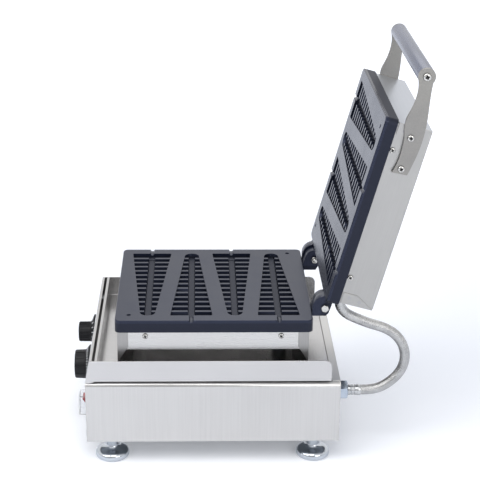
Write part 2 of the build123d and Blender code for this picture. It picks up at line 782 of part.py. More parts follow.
radii = bend_radii(hose_points)
print("hose bend radii", [round(radius, 1) for radius in radii])
with BuildPart() as braided_hose:
    with BuildLine(across(outlet_x)) as hose_route:
        FilletPolyline(*hose_points, radius=radii)
    with BuildSketch(Plane(hose_route.line @ 0, z_dir=hose_route.line % 0)):
        Circle(hose_radius)
    sweep(path=hose_route.line)
hose_length = hose_route.wires()[0].length
print("hose length", round(hose_length), "volume", round(braided_hose.part.volume),
      "of", round(pi * hose_radius ** 2 * hose_length))
save(braided_hose, "braided_hose")

# Power inlet: a gland with an open bore
inlet_nut, inlet_dome = 7.0, 8.0
with BuildPart() as power_gland:
    with BuildSketch(power_seat):
        RegularPolygon(11, 6, major_radius=False)
    extrude(amount=inlet_nut)
    with BuildSketch(power_seat.offset(inlet_nut)):
        Circle(9.5)
    extrude(amount=inlet_dome, taper=15)
    with BuildSketch(power_seat):
        Circle(power_thread)
    extrude(amount=-12)
    locknut(power_seat, power_thread, 22)
    bore([power_seat.offset(inlet_nut + inlet_dome)], 4.5, 40)
save(power_gland, "power_gland")

# Inside the body: terminal block, earth stud and wiring
block_top = base_z + 23
block_front = duct_y - 15
wire_low = base_z + 13
wire_top = plate_base - 4 - heater_tail
with BuildPart() as terminal_block:
    with Locations((0, duct_y, base_z + 2 * sheet)):
        Box(64, 30, block_top - base_z - 2 * sheet, align=up)
    with BuildSketch(Plane.XY.offset(block_top)):
        with Locations((0, duct_y)):
            with GridLocations(16, 16, 4, 2):
                Circle(2.2)
    extrude(amount=-6, mode=Mode.SUBTRACT)
save(terminal_block, "terminal_block")

with BuildPart() as earth_stud:
    with BuildSketch(earth_seat.offset(-sheet - 14)):
        Circle(2.5)
    extrude(amount=sheet + 20)
    with BuildSketch(earth_seat):
        RegularPolygon(4, 6, major_radius=False)
        Circle(2.5, mode=Mode.SUBTRACT)
    extrude(amount=4)
save(earth_stud, "earth_stud")


def tube(points, radius, bend):
    """One wire or thin tube along a route with equal bends."""
    with BuildPart() as run:
        with BuildLine() as route:
            FilletPolyline(*points, radius=bend)
        with BuildSketch(Plane(route.line @ 0, z_dir=route.line % 0)):
            Circle(radius)
        sweep(path=route.line)
    return run.part


with BuildPart() as wiring:
    for side, z in ((-1, inlet_z), (1, outlet_z)):
        add(tube([(side * 15, heater_end, wire_top), (side * 15, heater_end, wire_top - 5),
                  (side * 5, duct_y, wire_top - 8), (side * 5, duct_y, block_top)], 1.5, 2))
        add(tube([(side * outlet_x, half_l - sheet - 14, z), (side * outlet_x, half_l - 45, z),
                  (side * 24, duct_y + 4, outlet_z - 7), (side * 24, duct_y + 4, block_top)], 3, 8))
    for x in (control_x, 0, -control_x):
        add(tube([(x, control_back, control_z - 12), (x, control_back + 40, control_z - 12),
                  (x / 8, control_back + 90, wire_low), (x / 8, block_front, wire_low)], 2.5, 12))
save(wiring, "wiring")

lead_depth = heater_mid + heater_tail
lead_y = case_y - 25
entry_depth = entry_z - parting_height - lid_gap
with BuildPart() as lid_leads:
    for side in (-1, 1):
        points = [(side * 15, heater_end, lead_depth), (side * 15, heater_end, lead_depth + 8),
                  (60, lead_y, lead_depth + 4 * side), (outlet_x + side * 2, lead_y, entry_depth),
                  (outlet_x + side * 2, case_y + lid_gap + sheet - 8, entry_depth)]
        add(tube([upper_face.from_local_coords(Vector(*point)) for point in points], 1.5, 3))
save(lid_leads, "lid_leads")

# Controls on the front wall: thermostat, timer and switch
shaft_radius = 3.0
shaft_in, shaft_out = -20.0, 22.0


def control_body(seat, outline, depth):
    """A control's body behind the front wall, with the bush that its shaft turns in."""
    with BuildSketch(seat.offset(-sheet)) as case:
        outline()
    extrude(case.sketch, amount=-depth)
    with BuildSketch(seat.offset(-sheet)) as bush:
        Circle(bush_radius)
    extrude(bush.sketch, amount=sheet + 1.5)
    bore([seat.offset(2)], shaft_radius + pin_slack, 2 - shaft_in + 1)


control_depth = half_l - sheet + control_back
with BuildPart() as thermostat:
    control_body(knob_seats["thermostat"], lambda: Circle(21), control_depth)
save(thermostat, "thermostat")

with BuildPart() as timer:
    control_body(knob_seats["timer"], lambda: RectangleRounded(46, 46, 3), control_depth)
save(timer, "timer")

for control, seat in knob_seats.items():
    with BuildPart() as shaft:
        with BuildSketch(seat.offset(shaft_in)):
            Circle(shaft_radius)
        extrude(amount=shaft_out - shaft_in)
    save(shaft, f"{control}_shaft")


def knob_profile(points):
    """A turned knob skirt and body: points run from the rim's back over the face to the axis."""
    with BuildLine() as outline:
        Polyline(*points, (0, shaft_out), (shaft_radius, shaft_out), (shaft_radius, 4), (6, 4), (6, 9),
                 (points[0][0] - 9, 9), (points[0][0] - 1.6, 3.6), (points[0][0] - 1.6, 2), close=True)
    make_face(outline.edges())


with BuildPart() as thermostat_knob:
    with BuildSketch(lathe(knob_seats["thermostat"])):
        knob_profile([(30, 2), (30, 5), (22.5, 11), (22, 25.5), (20, 27.5), (0, 27.5)])
    revolve(axis=Axis(knob_seats["thermostat"].origin, (0, -1, 0)))
    with BuildSketch(knob_seats["thermostat"].offset(28)):
        with Locations((0, 13)):
            Rectangle(1.6, 14)
    extrude(amount=-1.2, mode=Mode.SUBTRACT)
save(thermostat_knob, "thermostat_knob")

flutes = 24
with BuildPart() as timer_knob:
    with BuildSketch(lathe(knob_seats["timer"])):
        knob_profile([(28, 2), (28, 5.8), (16.5, 11.3), (16.2, 29), (14.2, 31), (0, 31)])
    revolve(axis=Axis(knob_seats["timer"].origin, (0, -1, 0)))
    with BuildSketch(knob_seats["timer"].offset(32)):
        with PolarLocations(16.9, flutes):
            Circle(1.2)
    extrude(amount=-19, mode=Mode.SUBTRACT)
save(timer_knob, "timer_knob")

bezel_w, bezel_h, bezel = 26.0, 32.0, 2.0
rocker_w, rocker_h = 19.0, 24.0
pivot_depth = 1.0
well = 14.0

with BuildPart() as switch_body:
    with BuildSketch(switch_seat):
        RectangleRounded(bezel_w, bezel_h, 2)
    extrude(amount=bezel)
    with BuildSketch(switch_seat):
        Rectangle(switch_hole_w - 0.4, switch_hole_h - 0.4)
    extrude(amount=-sheet - control_depth)
    with BuildSketch(switch_seat.offset(bezel)):
        Rectangle(rocker_w + 1, rocker_h + 2.2)
    extrude(amount=-bezel - well, mode=Mode.SUBTRACT)
    rocker_axis = at(across(switch_seat.origin.X - 11), -half_l + pivot_depth, switch_seat.origin.Z)
    with BuildSketch(rocker_axis):
        Circle(1.5 + pin_slack)
    extrude(amount=22, mode=Mode.SUBTRACT)
save(switch_body, "switch_body")

with BuildPart() as switch_rocker:
    with BuildSketch(at(across(switch_seat.origin.X - rocker_w / 2), -half_l, switch_seat.origin.Z)):
        with BuildLine():
            Polyline((7, -6), (2, -11.6), (-2.3, -12), (-2.3, 4.5), (-6.6, 11.2), (-4, 11.7), (2, 11.6),
                     (7, 6), close=True)
        make_face()
    extrude(amount=rocker_w)
    with BuildSketch(at(rocker_axis, 0, 0, 0.2)):
        Circle(1.5)
    extrude(amount=21.6)
save(switch_rocker, "switch_rocker")

cover_w, cover_h, cover_depth = 26.0, 30.0, 9.5
with BuildPart() as switch_cover:
    with BuildSketch(at(switch_seat, 0, 1, bezel)):
        RectangleRounded(cover_w, cover_h, 2)
    extrude(amount=cover_depth)
    with BuildSketch(at(switch_seat, 0, 1, bezel)):
        Rectangle(cover_w - 2 * sheet, cover_h - 2 * sheet)
    extrude(amount=cover_depth - sheet, mode=Mode.SUBTRACT)
save(switch_cover, "switch_cover")

# The thermostat's sensing tube, from its body up the duct to a bulb under the lower plate
bulb_z = plate_base - 3
with BuildPart() as thermostat_capillary:
    add(tube([(10, control_back, control_z + 12), (10, control_back + 40, control_z + 12),
              (0, duct_y - 44, top_z - 18), (0, duct_y + 6, top_z - 12),
              (0, duct_y + 6, bulb_z), (0, duct_y, bulb_z)], 0.9, 3))
    with BuildSketch(Plane((0, duct_y, bulb_z), z_dir=(0, -1, 0))):
        Circle(3)
    extrude(amount=34)
save(thermostat_capillary, "thermostat_capillary")
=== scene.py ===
import math
import bpy
from mathutils import Matrix, Vector


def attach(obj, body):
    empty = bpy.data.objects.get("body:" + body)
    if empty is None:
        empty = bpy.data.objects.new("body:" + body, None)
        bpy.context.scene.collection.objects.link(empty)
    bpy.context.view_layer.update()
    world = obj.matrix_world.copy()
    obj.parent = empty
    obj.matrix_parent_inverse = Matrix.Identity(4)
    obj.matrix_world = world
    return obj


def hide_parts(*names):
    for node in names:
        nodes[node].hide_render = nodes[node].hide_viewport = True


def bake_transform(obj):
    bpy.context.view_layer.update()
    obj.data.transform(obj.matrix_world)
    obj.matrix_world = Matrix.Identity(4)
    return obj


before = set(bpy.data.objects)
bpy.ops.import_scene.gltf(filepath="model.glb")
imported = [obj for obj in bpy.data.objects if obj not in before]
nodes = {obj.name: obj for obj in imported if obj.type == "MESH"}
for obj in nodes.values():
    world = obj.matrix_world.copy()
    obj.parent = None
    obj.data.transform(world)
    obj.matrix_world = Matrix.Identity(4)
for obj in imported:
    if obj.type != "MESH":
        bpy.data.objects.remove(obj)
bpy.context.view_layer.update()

mm = 0.001
bpy.ops.object.select_all(action="DESELECT")
bpy.context.tool_settings.mesh_select_mode = (False, False, True)

# the hinge axis and the plates' working faces in mm, and the angle at which the lid stands open
hinge = {"y": 162.0, "z": 228.2, "open": 105.0, "lowerFace": 221.0, "upperFace": 221.4}
pin = Vector((0, hinge["y"], hinge["z"])) * mm
openTurn = Matrix.Rotation(-math.radians(hinge["open"]), 4, "X")
lidTurn = Matrix.Translation(pin) @ openTurn @ Matrix.Translation(-pin)
lidUp = lidTurn.to_3x3() @ Vector((0, 0, 1))  # into the lid, square to the upper plate's face
lidFace = lidUp.dot(lidTurn @ Vector((0, 0, hinge["upperFace"] * mm))) / mm


# materials
def linearColour(hexText):
    channels = [int(hexText[i:i + 2], 16) / 255 for i in (1, 3, 5)]
    return [c / 12.92 if c <= 0.04045 else ((c + 0.055) / 1.055) ** 2.4 for c in channels] + [1.0]


def addNode(tree, kind, settings=None, links=None):
    # settings are the node's properties, or its inputs by name or number; links say what feeds an input
    node = tree.nodes.new(kind)
    for key, value in (settings or {}).items():
        if isinstance(key, str) and hasattr(node, key):
            setattr(node, key, value)
        else:
            node.inputs[key].default_value = value
    for key, (source, socket) in (links or {}).items():
        tree.links.new(source.outputs[socket], node.inputs[key])
    return node


def emptyMaterial(name):
    material = bpy.data.materials.new(name)
    material.use_nodes = True
    material.node_tree.nodes.clear()
    return material, material.node_tree


noiseSpan = {"tone": (0.32, 0.68), "roughness": (0.3, 0.7)}  # the stretch of the noise that each uses
shadeFade = 0.6  # mm over which a shade sets in


def shaded(tree, shade, place, tone, rough):
    # another colour and roughness where the place is below each level along its direction; it lays painted
    # shade and a painted highlight
    within = None
    for towards, level in shade["below"]:
        reach = addNode(tree, "ShaderNodeVectorMath", {"operation": "DOT_PRODUCT", 1: towards},
                        {0: (place, "Object")})
        mask = addNode(tree, "ShaderNodeMapRange", {
            "From Min": (level - shadeFade) * mm, "From Max": level * mm, "To Min": 1.0, "To Max": 0.0},
            {"Value": (reach, "Value")})
        if within:
            both = addNode(tree, "ShaderNodeMath", {"operation": "MULTIPLY"},
                           {0: within, 1: (mask, "Result")})
            within = (both, "Value")
        else:
            within = (mask, "Result")
    mixed = addNode(tree, "ShaderNodeMix", {"data_type": "RGBA", 7: linearColour(shade["colour"])},
                    {0: within, 6: (tone, "Color")})
    dull = addNode(tree, "ShaderNodeMath", {"operation": "MULTIPLY", 1: shade["roughness"]}, {0: within})
    rougher = addNode(tree, "ShaderNodeMath", {"operation": "MAXIMUM"},
                      {0: (rough, "Result"), 1: (dull, "Value")})
    return (mixed, 2), (rougher, "Value")


def grained(name, look):
    # one finish: colour and roughness drift with the grain and over patches, and the grain makes the bump
    material, tree = emptyMaterial(name)
    place = addNode(tree, "ShaderNodeTexCoord")
    grainSize = look["grain"] if isinstance(look["grain"], tuple) else [look["grain"]] * 3
    grainMap = addNode(tree, "ShaderNodeMapping", {
        "vector_type": "TEXTURE", "Scale": [size * mm for size in grainSize],
        "Rotation": (math.radians(look.get("turn", 0)), 0, 0)}, {"Vector": (place, "Object")})
    grain = addNode(tree, "ShaderNodeTexNoise", {"Scale": 1.0, "Detail": 3.0, "Roughness": 0.6},
                    {"Vector": (grainMap, "Vector")})
    patchMap = addNode(tree, "ShaderNodeMapping", {
        "vector_type": "TEXTURE", "Scale": [look["patch"] * mm] * 3}, {"Vector": (place, "Object")})
    patch = addNode(tree, "ShaderNodeTexNoise", {"Scale": 1.0, "Detail": 2.0},
                    {"Vector": (patchMap, "Vector")})
    both = addNode(tree, "ShaderNodeMath", {"operation": "ADD"}, {0: (grain, "Fac"), 1: (patch, "Fac")})
    half = addNode(tree, "ShaderNodeMath", {"operation": "MULTIPLY", 1: 0.5}, {0: (both, "Value")})
    tone = addNode(tree, "ShaderNodeValToRGB", {}, {"Fac": (half, "Value")})
    for stop, position, colour in zip(tone.color_ramp.elements, noiseSpan["tone"], look["colours"]):
        stop.position = position
        stop.color = linearColour(colour)
    smoothest, roughest = look["roughness"]
    low, high = noiseSpan["roughness"]
    rough = addNode(tree, "ShaderNodeMapRange", {
        "From Min": low, "From Max": high, "To Min": smoothest, "To Max": roughest},
        {"Value": (half, "Value")})
    bump = addNode(tree, "ShaderNodeBump", {"Strength": look["bump"], "Distance": look["depth"] * mm},
                   {"Height": (grain, "Fac")})
    toneEnd, roughEnd = (tone, "Color"), (rough, "Result")
    if "shade" in look:
        toneEnd, roughEnd = shaded(tree, look["shade"], place, tone, rough)
    sockets = {"Metallic": look.get("metallic", 0.0), **look.get("sockets", {})}
    shader = addNode(tree, "ShaderNodeBsdfPrincipled", sockets, {
        "Base Color": toneEnd, "Roughness": roughEnd, "Normal": (bump, "Normal")})
    addNode(tree, "ShaderNodeOutputMaterial", {}, {"Surface": (shader, "BSDF")})
    return material


def metal(**look):
    return dict(look, metallic=1.0)


# grain, patch and depth are in mm, and turn in degrees; three grain sizes are along X, Y and Z
steelGrain = 2.0  # real brush lines are about 0.2 mm apart; drawn coarser so that they show
lidSheetTurn = -hinge["open"]  # brush lines of the lid lean with it
gapShade = {"above": 129.3, "before": 173.2}  # mm: painted shade of the gap under the tray lies over this height, in front of this
lidTabs = 135.9  # mm: the lid's corner tabs are outside this
cavityDrop = 4.0  # mm into a plate from its working face, past which its cavities take painted shade

uprightSheet = metal(colours=("#BDBCBB", "#C7C6C5"), grain=(steelGrain, steelGrain, 110),
                     roughness=(0.28, 0.30), bump=0.003, depth=0.01, patch=140)
lidSheet = metal(colours=("#A2A19F", "#ABAAA8"), turn=lidSheetTurn,
                 roughness=(0.28, 0.38), bump=0.01, depth=0.01, patch=120)
ptfeCoat = dict(colours=("#10141F", "#171B28"), grain=1.6, bump=0.12, depth=0.12, patch=45,
                sockets={"IOR": 1.5, "Specular Tint": (0.64, 0.70, 1.0, 1)})
# painted shade for the plates' cavities: near black and rougher
cavityPaintedShade = dict(colour="#0B0D13", roughness=0.55)

finishes = {
    # 304 stainless sheet, belt brushed upright: light grey with faint vertical lines
    "brushedStainlessUpright": uprightSheet,
    # the housing: the same sheet, with painted shade on its top in the gap under the tray
    # near-black colour and higher roughness here are painted shade, not a deposit
    "stainlessOverGap": dict(uprightSheet, shade=dict(
        below=[((0, 0, -1), -gapShade["above"]), ((0, 1, 0), gapShade["before"])],
        colour="#2A2928", roughness=0.6)),
    # the same sheet brushed along the tray: a little brighter and glossier, with lines front to rear
    "brushedStainlessLengthwise": metal(
        colours=("#BBBABA", "#C5C4C4"), grain=(steelGrain, 110, steelGrain),
        roughness=(0.18, 0.25), bump=0.008, depth=0.02, patch=140),
    # stainless of the pedestal box, brushed lengthwise: the palest of the sheets
    "pedestalStainless": metal(
        colours=("#BEBDBC", "#C9C8C7"), grain=(steelGrain, 90, steelGrain),
        roughness=(0.24, 0.32), bump=0.006, depth=0.01, patch=120),
    # end sheets of the pedestal box: the same steel, darker and duller
    "darkerEndStainless": metal(
        colours=("#969594", "#A3A2A1"), grain=(steelGrain, steelGrain, 60),
        roughness=(0.34, 0.42), bump=0.006, depth=0.01, patch=60),
    # lid sheet, brushed along the lid and dulled by heat: a soft mid grey
    "lidStainless": dict(lidSheet, grain=(steelGrain, 90, steelGrain)),
    # end sheets of the lid: the same steel, with a painted highlight, cooler and brighter, on the face
    # between the corner tabs
    "lidEndStainless": dict(lidSheet, grain=(60, steelGrain, steelGrain), shade=dict(
        below=[((1, 0, 0), lidTabs), ((-1, 0, 0), lidTabs)], colour="#B3B7BF", roughness=0.28)),
    # laser-cut satin steel flat: warmer and darker than the sheet
    "satinSteelFlat": metal(
        colours=("#888683", "#96948F"), grain=(60, 1.5, 1.5), turn=lidSheetTurn,
        roughness=(0.30, 0.44), bump=0.08, depth=0.03, patch=40),
    # cast aluminium under a sprayed PTFE coat: slate, slightly pebbled, semi-matt, with painted shade in the
    # cavities
    "ptfeOnCastAluminium": dict(ptfeCoat, roughness=(0.28, 0.40), shade=dict(
        cavityPaintedShade, below=[((0, 0, 1), hinge["lowerFace"] - cavityDrop)])),
    # the same coat on the upper plate, rubbed a little smoother by cleaning
    "ptfeOnUpperPlate": dict(ptfeCoat, roughness=(0.22, 0.31), shade=dict(
        cavityPaintedShade, below=[(-lidUp, -lidFace - cavityDrop)])),
    # chromed steel: mirror bright, faint haze
    "chromePlate": metal(
        colours=("#B8BEC6", "#C6CBD2"), grain=8, roughness=(0.09, 0.15), bump=0.01, depth=0.01, patch=25),
    # plain steel stem of a foot, rougher than the bell; its greyer colour is painted shade under the body
    "dullNeckSteel": metal(
        colours=("#9DA3AB", "#B0B5BC"), grain=2, roughness=(0.24, 0.38), bump=0.05, depth=0.02, patch=12),
    # zinc-plated screws: bright with small scratches
    "brightZincPlate": metal(
        colours=("#B2B1AE", "#CCCBC8"), grain=1.2, roughness=(0.14, 0.30), bump=0.05, depth=0.02, patch=6),
    # painted shade in a screw's recess and round its rim: near black, matt
    "screwRecessShade": dict(
        colours=("#151412", "#211F1D"), grain=0.5, roughness=(0.5, 0.7), bump=0.2, depth=0.05, patch=4),
    # galvanised inner sheet: dull grey spangle
    "galvanisedSheet": metal(
        colours=("#8E9296", "#A5A9AD"), grain=9, roughness=(0.38, 0.58), bump=0.05, depth=0.02, patch=30),
    # nickel-plated brass fitting: cool and bright
    "nickelPlate": metal(
        colours=("#9AA5B2", "#B5BECA"), grain=2, roughness=(0.14, 0.26), bump=0.04, depth=0.02, patch=10),
    # crimped steel ferrule: pale grey, drawn lengthwise
    "crimpedSteel": metal(
        colours=("#A9ABAE", "#CACBCC"), grain=(1.5, 6, 1.5), roughness=(0.20, 0.34), bump=0.06, depth=0.03,
        patch=10),
    # stainless braid wire: grey, with small bright glints
    "braidWire": metal(
        colours=("#999999", "#C0C0C0"), grain=0.8, roughness=(0.2, 0.32), bump=0.03, depth=0.03, patch=14),
    # rubber hose under the braid: matt dark grey in the gaps
    "hoseRubber": dict(
        colours=("#3A3A39", "#4A4A48"), grain=1, roughness=(0.5, 0.7), bump=0.2, depth=0.1, patch=10),
    # moulded phenolic knob: near black with a soft shine
    "mouldedPhenolic": dict(
        colours=("#0E0E11", "#17171A"), grain=0.9, roughness=(0.40, 0.54), bump=0.12, depth=0.05, patch=14,
        sockets={"IOR": 1.45, "Specular IOR Level": 0.3}),
    # paint in the dial's marks: white, satin
    "dialPaint": dict(
        colours=("#E4E4E4", "#F4F4F4"), grain=0.6, roughness=(0.4, 0.55), bump=0.05, depth=0.05, patch=4),
    # moulded polyamide grip: blue-grey, smooth, with a long highlight
    "polyamideGrip": dict(
        colours=("#414658", "#4D5368"), grain=(2.2, 1.0, 1.0), roughness=(0.20, 0.30), bump=0.05,
        depth=0.05, patch=30, sockets={"IOR": 1.58}),
    # moulded ABS switch frame: black, satin
    "blackAbs": dict(
        colours=("#17171A", "#202024"), grain=0.8, roughness=(0.3, 0.42), bump=0.08, depth=0.04, patch=8),
    # translucent polycarbonate rocker: red, brighter where light passes
    "redPolycarbonate": dict(
        colours=("#C4161C", "#E0343A"), grain=3, roughness=(0.16, 0.26), bump=0.03, depth=0.05, patch=8,
        sockets={"Transmission Weight": 0.35, "IOR": 1.58}),
    # soft PVC splash cover: clear, faintly wavy
    "clearPvc": dict(
        colours=("#F4F5F7", "#FFFFFF"), grain=4, roughness=(0.06, 0.14), bump=0.06, depth=0.1, patch=10,
        sockets={"Transmission Weight": 1.0, "IOR": 1.3}),
    # moulded nylon cable gland: black, dull
    "nylonGland": dict(
        colours=("#1C1C1E", "#29292C"), grain=1, roughness=(0.4, 0.55), bump=0.1, depth=0.05, patch=8),
    # phenolic cases of the controls: dark brown, dull
    "phenolicCase": dict(
        colours=("#2A2522", "#3A332E"), grain=1, roughness=(0.4, 0.6), bump=0.1, depth=0.05, patch=12),
    # steel sheath of a heater, oxidised by heat: brown grey
    "oxidisedSheath": metal(
        colours=("#4E4A48", "#6C625A"), grain=3, roughness=(0.4, 0.6), bump=0.1, depth=0.05, patch=18),
    # ceramic wool blanket: loose off-white fibre
    "ceramicWool": dict(
        colours=("#CFCBC0", "#E8E5DB"), grain=(2.5, 0.8, 2.5), roughness=(0.85, 0.98), bump=0.9, depth=0.8,
        patch=12, sockets={"Sheen Weight": 0.3}),
    # glazed steatite terminal block: cream, smooth
    "steatite": dict(
        colours=("#E0DCD2", "#F0EDE6"), grain=1.5, roughness=(0.25, 0.4), bump=0.05, depth=0.05, patch=10),
    # turned brass shafts: yellow, with fine turning lines
    "turnedBrass": metal(
        colours=("#B08D45", "#C9A75C"), grain=(6, 0.8, 6), roughness=(0.2, 0.34), bump=0.06, depth=0.05,
        patch=8),
    # glass-fibre sleeve over the wires: off white, matt, nubbly
    "glassSleeve": dict(
        colours=("#B9B4A6", "#D8D3C6"), grain=0.8, roughness=(0.7, 0.9), bump=0.5, depth=0.2, patch=6),
    # EPDM rubber pads: black, matt
    "epdmPad": dict(
        colours=("#161616", "#222222"), grain=0.8, roughness=(0.7, 0.85), bump=0.3, depth=0.1, patch=6),
    # heat mark left by a spot weld: a dull ring on the sheet
    "spotWeldMark": metal(
        colours=("#9C9C9E", "#A9A9AB"), grain=0.8, roughness=(0.4, 0.55), bump=0.2, depth=0.05, patch=3),
}
materials = {name: grained(name, look) for name, look in finishes.items()}

nodeFinishes = {
    "brushedStainlessUpright": ["front_panel", "rear_panel"],
    "stainlessOverGap": ["base_housing"],
    "brushedStainlessLengthwise": ["splash_guard", "drip_tray"],
    "pedestalStainless": ["lower_housing"],
    "darkerEndStainless": ["front_support", "rear_support"],
    "lidStainless": ["lid_housing"],
    "lidEndStainless": ["lid_front_end", "lid_rear_end"],
    "satinSteelFlat": ["handle_arm_right", "handle_arm_left", "handle_spacers"],
    "ptfeOnCastAluminium": ["lower_plate"],
    "ptfeOnUpperPlate": ["upper_plate"],
    "galvanisedSheet": ["base_bottom_plate", "cable_duct", "lower_clamp", "upper_clamp"],
    "brightZincPlate": ["bottom_screws", "support_screws", "foot_nuts", "lower_clamp_screws",
                        "upper_clamp_screws", "earth_stud"],
    "blackAbs": ["switch_body"],
    "redPolycarbonate": ["switch_rocker"],
    "clearPvc": ["switch_cover"],
    "nylonGland": ["power_gland"],
    "phenolicCase": ["thermostat", "timer"],
    "oxidisedSheath": ["lower_heater", "upper_heater"],
    "ceramicWool": ["lower_insulation", "upper_insulation"],
    "steatite": ["terminal_block"],
    "turnedBrass": ["thermostat_shaft", "timer_shaft", "thermostat_capillary"],
    "glassSleeve": ["wiring", "lid_leads"],
    "epdmPad": ["tray_pads"],
}
for finish, names in nodeFinishes.items():
    for name in names:
        mesh = nodes[name].data
        mesh.materials.clear()
        mesh.materials.append(materials[finish])
print("materials:", len(materials))

# camera: a 104.5 mm lens 2.1 m off the right side, looking 21 degrees down
view = {"place": (1959.6, -22.7, 1044.9), "aim": (0, 41.4, 290.9), "lens": 104.5, "roll": 0.63, "clip": 50}
cameraPlace = Vector(view["place"]) * mm
aim = (Vector(view["aim"]) * mm - cameraPlace).to_track_quat("-Z", "Y").to_matrix().to_4x4()
roll = Matrix.Rotation(math.radians(view["roll"]), 4, "Z")
bpy.ops.object.camera_add()
camera = bpy.context.object
camera.matrix_world = Matrix.Translation(cameraPlace) @ aim @ roll
camera.data.lens = view["lens"]
camera.data.sensor_width = 36
camera.data.clip_end = view["clip"]
bpy.context.scene.camera = camera

# studio: a white room for the eye and for reflections, and softer plain light; places in metres
studio = {"room": 0.66, "roomTint": "#E9F0FF", "mirrorDrop": 0.45, "dropSpan": (-0.1, 0.5),
          "floorSize": 14, "floorTone": (0.85, 0.89), "floorTint": "#F4F6FB",
          "floorLight": (0.2, 0.7), "floorSpan": (0.8, 2.2)}
softboxes = {  # place, size and power in watts
    "keyLamp": ((0.9, -1.3, 1.9), (1.4, 1.4), 24),
    "fillLamp": ((1.9, 1.2, 1.1), (1.2, 1.2), 12),
    "backLamp": ((-1.6, 0.4, 1.7), (1.4, 1.0), 5),
    "overheadLamp": ((0.5, 0, 1.5), (0.6, 1.8), 7),
}
lampAim = Vector((0, 0.03, 0.2))
bpy.context.scene.view_settings.view_transform = "Standard"
world = bpy.data.worlds.new("studio")
bpy.context.scene.world = world
world.use_nodes = True
world.node_tree.nodes.clear()


def seenRays(tree):
    # 1 where a camera, mirror or glass ray looks, 0 for plain light
    path = addNode(tree, "ShaderNodeLightPath")
    most = addNode(tree, "ShaderNodeMath", {"operation": "MAXIMUM"},
                   {0: (path, "Is Camera Ray"), 1: (path, "Is Glossy Ray")})
    return addNode(tree, "ShaderNodeMath", {"operation": "MAXIMUM"},
                   {0: (most, "Value"), 1: (path, "Is Transmission Ray")})


def whiteRoom(tree):
    # plain light on the object; seen rays find white, which is dimmer for mirrors low on the right
    seen = seenRays(tree)
    plain = addNode(tree, "ShaderNodeBackground",
                    {"Color": linearColour(studio["roomTint"]), "Strength": studio["room"]})
    place = addNode(tree, "ShaderNodeTexCoord")
    sides = addNode(tree, "ShaderNodeSeparateXYZ", {}, {"Vector": (place, "Generated")})
    lowRight = addNode(tree, "ShaderNodeMath", {"operation": "SUBTRACT"},
                       {0: (sides, "X"), 1: (sides, "Z")})
    start, full = studio["dropSpan"]
    drop = addNode(tree, "ShaderNodeMapRange",
                   {"From Min": start, "From Max": full, "To Max": studio["mirrorDrop"]},
                   {"Value": (lowRight, "Value")})
    path = addNode(tree, "ShaderNodeLightPath")
    mirrored = addNode(tree, "ShaderNodeMath", {"operation": "MULTIPLY"},
                       {0: (path, "Is Glossy Ray"), 1: (drop, "Result")})
    strength = addNode(tree, "ShaderNodeMath", {"operation": "SUBTRACT", 0: 1.0}, {1: (mirrored, "Value")})
    white = addNode(tree, "ShaderNodeBackground", {"Color": linearColour("#FFFFFF")},
                    {"Strength": (strength, "Value")})
    mixed = addNode(tree, "ShaderNodeMixShader", {}, {
        0: (seen, "Value"), 1: (plain, "Background"), 2: (white, "Background")})
    addNode(tree, "ShaderNodeOutputWorld", {}, {"Surface": (mixed, "Shader")})


def paleFloor():
    # matt pale paint that keeps the object's shadow, and glows for seen rays, more so further out
    material, tree = emptyMaterial("paleFloor")
    place = addNode(tree, "ShaderNodeTexCoord")
    noise = addNode(tree, "ShaderNodeTexNoise", {"Scale": 3.0}, {"Vector": (place, "Object")})
    darkest, palest = studio["floorTone"]
    tone = addNode(tree, "ShaderNodeMapRange", {"To Min": darkest, "To Max": palest},
                   {"Value": (noise, "Fac")})
    paint = addNode(tree, "ShaderNodeBsdfDiffuse", {}, {"Color": (tone, "Result")})
    seen = seenRays(tree)
    reach = addNode(tree, "ShaderNodeVectorMath", {"operation": "LENGTH"}, {0: (place, "Object")})
    near, far = studio["floorSpan"]
    faint, bright = studio["floorLight"]
    rise = addNode(tree, "ShaderNodeMapRange", {
        "From Min": near, "From Max": far, "To Min": faint, "To Max": bright}, {"Value": (reach, "Value")})
    lift = addNode(tree, "ShaderNodeMath", {"operation": "MULTIPLY"},
                   {0: (seen, "Value"), 1: (rise, "Result")})
    glow = addNode(tree, "ShaderNodeEmission", {"Color": linearColour(studio["floorTint"])},
                   {"Strength": (lift, "Value")})
    both = addNode(tree, "ShaderNodeAddShader", {}, {0: (paint, "BSDF"), 1: (glow, "Emission")})
    addNode(tree, "ShaderNodeOutputMaterial", {}, {"Surface": (both, "Shader")})
    return material


whiteRoom(world.node_tree)
for name, (place, size, power) in softboxes.items():
    bpy.ops.object.light_add(type="AREA", location=place)
    lamp = bpy.context.object
    lamp.name = name
    lamp.data.shape = "RECTANGLE"
    lamp.data.size, lamp.data.size_y = size
    lamp.data.energy = power
    lamp.rotation_euler = (lampAim - Vector(place)).to_track_quat("-Z", "Y").to_euler()
bpy.ops.mesh.primitive_plane_add(size=studio["floorSize"])
floor = bpy.context.object
floor.name = "floor"
floor.data.materials.append(paleFloor())
print("camera, lights and floor")


# modelling helpers
def selectOnly(*pieces):
    # selects these pieces alone, and makes the first one active
    bpy.ops.object.select_all(action="DESELECT")
    for piece in pieces:
        piece.select_set(True)
    bpy.context.view_layer.objects.active = pieces[0]


def smoothed(piece, angle):
    selectOnly(piece)
    bpy.ops.object.shade_smooth_by_angle(angle=math.radians(angle))


def pickFaces(piece, test):
    # leaves the piece in edit mode with the faces that pass selected
    bpy.ops.object.mode_set(mode="EDIT")
    bpy.ops.mesh.select_all(action="DESELECT")
    bpy.ops.object.mode_set(mode="OBJECT")
    for face in piece.data.polygons:
        face.select = bool(test(face.center, face.normal))
    bpy.ops.object.mode_set(mode="EDIT")


def applyModifier(piece, kind, settings):
    bpy.context.view_layer.objects.active = piece
    modifier = piece.modifiers.new(kind, kind)
    for key, value in settings.items():
        setattr(modifier, key, value)
    bpy.ops.object.modifier_apply(modifier=modifier.name)


